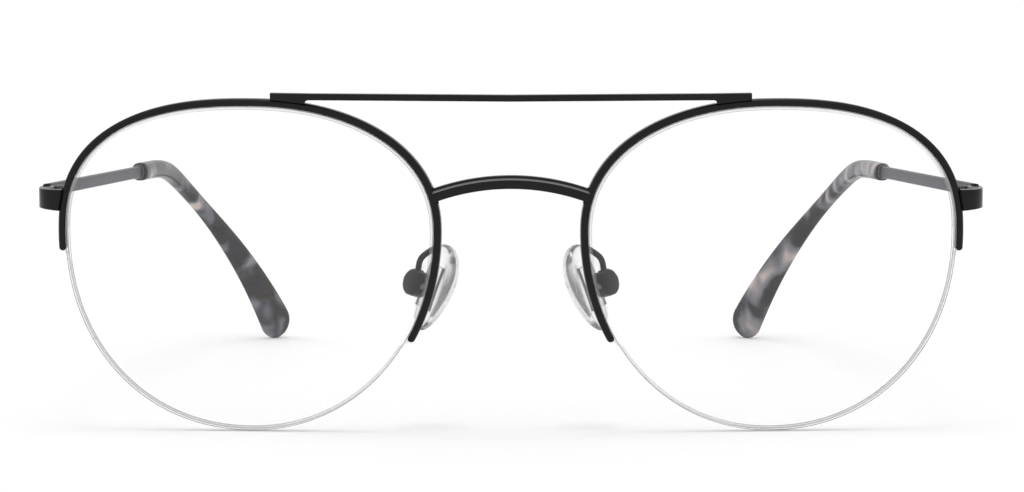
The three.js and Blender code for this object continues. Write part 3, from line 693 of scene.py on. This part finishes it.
def marbled_acetate():
    """Charcoal acetate with soft clouds of grey, brown and a little cream under a polished skin."""
    made = finish("marbled_acetate", Roughness=0.24, Specular_IOR_Level=0.05)
    shader = made.node_tree.nodes["Principled BSDF"]
    coords = node(made, "ShaderNodeTexCoord")
    bend = node(made, "ShaderNodeTexNoise", Scale=90, Detail=2)
    join(made, coords.outputs["Object"], bend.inputs["Vector"])
    scaled = node(made, "ShaderNodeVectorMath", operation="SCALE")
    scaled.inputs["Scale"].default_value = 0.011
    join(made, bend.outputs["Color"], scaled.inputs[0])
    moved = node(made, "ShaderNodeVectorMath", operation="ADD")
    join(made, coords.outputs["Object"], moved.inputs[0])
    join(made, scaled.outputs["Vector"], moved.inputs[1])
    clouds = node(made, "ShaderNodeTexNoise", Scale=150, Detail=2, Roughness=0.4)
    join(made, moved.outputs["Vector"], clouds.inputs["Vector"])
    charcoal = [(0.37, (0.012, 0.0125, 0.015)), (0.45, (0.02, 0.021, 0.025))]
    brown = [(0.485, (0.026, 0.018, 0.015))]
    greys = [(0.52, (0.06, 0.06, 0.072)), (0.57, (0.14, 0.14, 0.16)), (0.62, (0.22, 0.21, 0.22))]
    cream = [(0.69, (0.5, 0.4, 0.38))]
    colours = ramp(made, charcoal + brown + greys + cream)
    join(made, clouds.outputs["Fac"], colours.inputs["Fac"])
    join(made, colours.outputs["Color"], shader.inputs["Base Color"])
    return made


BLACK = black_lacquer()
BOX_GREY = grey_metal("dark_satin_steel", (0.012, 0.012, 0.013), 0.3, 0.42)
HINGE_GREY = grey_metal("hinge_steel", (0.12, 0.12, 0.128), 0.28, 0.4)
ARM_BLACK = arm_lacquer()
ACETATE = marbled_acetate()
# Painted highlight: a lighter colour on the bridge's bevel, for the light it catches from above.
BEVEL_PAINTED_HIGHLIGHT = finish("bevel_painted_highlight", Base_Color=(0.15, 0.15, 0.155, 1), Roughness=0.35,
                      Specular_IOR_Level=0.3)
# Painted shade: darker than the acetate, for the shade inside the tip's mouth.
MOUTH_PAINTED_SHADE = finish("mouth_painted_shade", Base_Color=(0.006, 0.006, 0.007, 1), Roughness=0.5, Specular_IOR_Level=0.2)
LENS_FACE = finish("clear_lens", Base_Color=(1, 1, 1, 1), Roughness=0.02, Alpha=0.03)
# Painted shade: the clear lens's bevelled edges are grey and its groove floor darker grey, for the thin
# dark lines that light bent at a clear edge shows.
LENS_EDGE_PAINTED_SHADE = finish("lens_edge_painted_shade", Base_Color=(0.24, 0.245, 0.25, 1), Roughness=0.25, Alpha=0.75)
GROOVE_PAINTED_SHADE = finish("groove_painted_shade", Base_Color=(0.14, 0.14, 0.145, 1), Roughness=0.5, Alpha=0.85)
LINER = finish("clear_nylon_strip", Base_Color=(0.98, 0.98, 0.99, 1), Roughness=0.3, Alpha=0.14)
CORD = finish("clear_nylon_cord", Base_Color=(0.95, 0.95, 0.96, 1), Roughness=0.25, Alpha=0.35)
PAD = finish("clear_silicone", Base_Color=(0.98, 0.98, 0.98, 1), Roughness=0.12, IOR=1.41,
             Transmission_Weight=0.95)
INSERT = finish("clear_hard_plastic", Base_Color=(0.9, 0.9, 0.92, 1), Roughness=0.1, Alpha=0.12)
# Painted shade: the clear insert's side faces are near black, for the thin dark lines that light bent at
# its edges shows.
INSERT_EDGE_PAINTED_SHADE = finish("insert_edge_painted_shade", Base_Color=(0.05, 0.05, 0.055, 1), Roughness=0.3, Alpha=0.85)


# ---- The pieces ----

for side, word in ((LEFT, "left"), (RIGHT, "right")):
    lens_frame, front_frame, temple_frame = on_lens(side), on_front(side), on_temple(side)
    temple = f"{word}_temple"

    def put(bm, name, to_row, looks, body, slot, sharp=40):
        return piece(bm, f"{word}_{name}_shape", to_row, looks, body, [f"{word}_{name}"], slot, sharp)

    put(make_lens(), "lens", lens_frame, [LENS_FACE, LENS_EDGE_PAINTED_SHADE, GROOVE_PAINTED_SHADE], "front", "clear_lens")
    put(make_rim(), "rim", lens_frame, [BLACK], "front", "black_metal")
    put(make_liner(), "rim_liner", lens_frame, [LINER], "front", "clear_nylon")
    put(make_lens_cord(), "lens_cord", lens_frame, [CORD], "front", "clear_nylon")
    put(make_pad_wire(), "pad_wire", front_frame, [BOX_GREY], "front", "black_metal")
    put(make_temple_arm(), "temple_arm", temple_frame, [ARM_BLACK], temple, "black_metal")
    put(make_temple_tip(), "temple_tip", temple_frame, [ACETATE, MOUTH_PAINTED_SHADE], temple, "marbled_acetate", 60)
    put(make_nose_pad(), "nose_pad", on_pad(side), [PAD], f"{word}_pad", "clear_silicone", 80)
    for name, material, body, slot, edge in (
        ("endpiece", BLACK, "front", "black_metal", 0.12),
        ("front_hinge", HINGE_GREY, "front", "grey_metal", 0.05),
        ("temple_hinge", HINGE_GREY, temple, "grey_metal", 0.05),
        ("hinge_screw", BOX_GREY, "front", "grey_metal", 0.04),
        ("pad_box", BOX_GREY, "front", "grey_metal", 0.12),
        ("pad_screw", HINGE_GREY, "front", "grey_metal", 0.05),
    ):
        refined(f"{word}_{name}", f"{word}_{name}_shape", material, body, slot, edge)
    away = (on_pad(side).to_3x3() @ Vector((1, 0, 0))).normalized()
    refined(f"{word}_pad_insert", f"{word}_pad_insert_shape", INSERT, f"{word}_pad", "clear_nylon", 0.05,
            edge_shade_look=INSERT_EDGE_PAINTED_SHADE, across=away)

for side, word in ((LEFT, "left"), (RIGHT, "right")):
    for name, start, end in (("endpiece", 5.2, 12.2), ("bridge", 166.6, 171.6)):
        fillet = make_braze(start, end)
        piece(fillet, f"{word}_{name}_braze", on_front(side), [BOX_GREY], "front", [], "black_metal")

piece(make_brow_bar(), "brow_bar_shape", on_front(LEFT), [BLACK], "front", ["brow_bar"], "black_metal")
piece(make_bridge(), "nose_bridge_shape", on_front(LEFT), [BLACK, BEVEL_PAINTED_HIGHLIGHT], "front", ["nose_bridge"],
      "black_metal")


# ---- Table, light and camera ----

def table():
    bm = bmesh.new()
    bmesh.ops.create_grid(bm, x_segments=1, y_segments=1, size=8)
    bmesh.ops.translate(bm, vec=(0, 0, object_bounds()[0][2]), verts=bm.verts)
    mesh = bpy.data.meshes.new("table")
    bm.to_mesh(mesh)
    bm.free()
    mesh.materials.append(finish("white_table", Base_Color=(0.93, 0.93, 0.93, 1), Roughness=0.7))
    made = bpy.data.objects.new("table", mesh)
    bpy.context.collection.objects.link(made)
    made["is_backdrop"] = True


def overhead_light(name, spread, strength):
    """Soft light from straight above, as even over the table as the room's."""
    lamp = bpy.data.lights.new(name, "SUN")
    lamp.angle = math.radians(spread)
    lamp.energy = strength
    made = bpy.data.objects.new(name, lamp)
    made.location = (0, 0, 1)
    bpy.context.collection.objects.link(made)


def studio():
    world = bpy.data.worlds.new("white_room")
    world.use_nodes = True
    background = world.node_tree.nodes["Background"]
    background.inputs["Color"].default_value = (1, 1, 1, 1)
    background.inputs["Strength"].default_value = 0.96
    bpy.context.scene.world = world
    overhead_light("overhead_softbox", 24, 0.5)
    bpy.context.scene.view_settings.view_transform = "Standard"


def camera():
    """Far back and a little above, looking slightly down, as the glasses are seen on a table."""
    ahead, above, pitch = 0.611312, 0.039728, math.radians(4.402)
    data = bpy.data.cameras.new("camera")
    data.sensor_width = 36
    data.lens = 151.875
    data.clip_end = 50
    made = bpy.data.objects.new("camera", data)
    made.location = (0.00015, hinge_place.y * MM - ahead, hinge_place.z * MM + above)
    made.rotation_euler = (math.radians(90) - pitch, 0, 0)
    bpy.context.collection.objects.link(made)
    bpy.context.scene.camera = made


table()
studio()
camera()
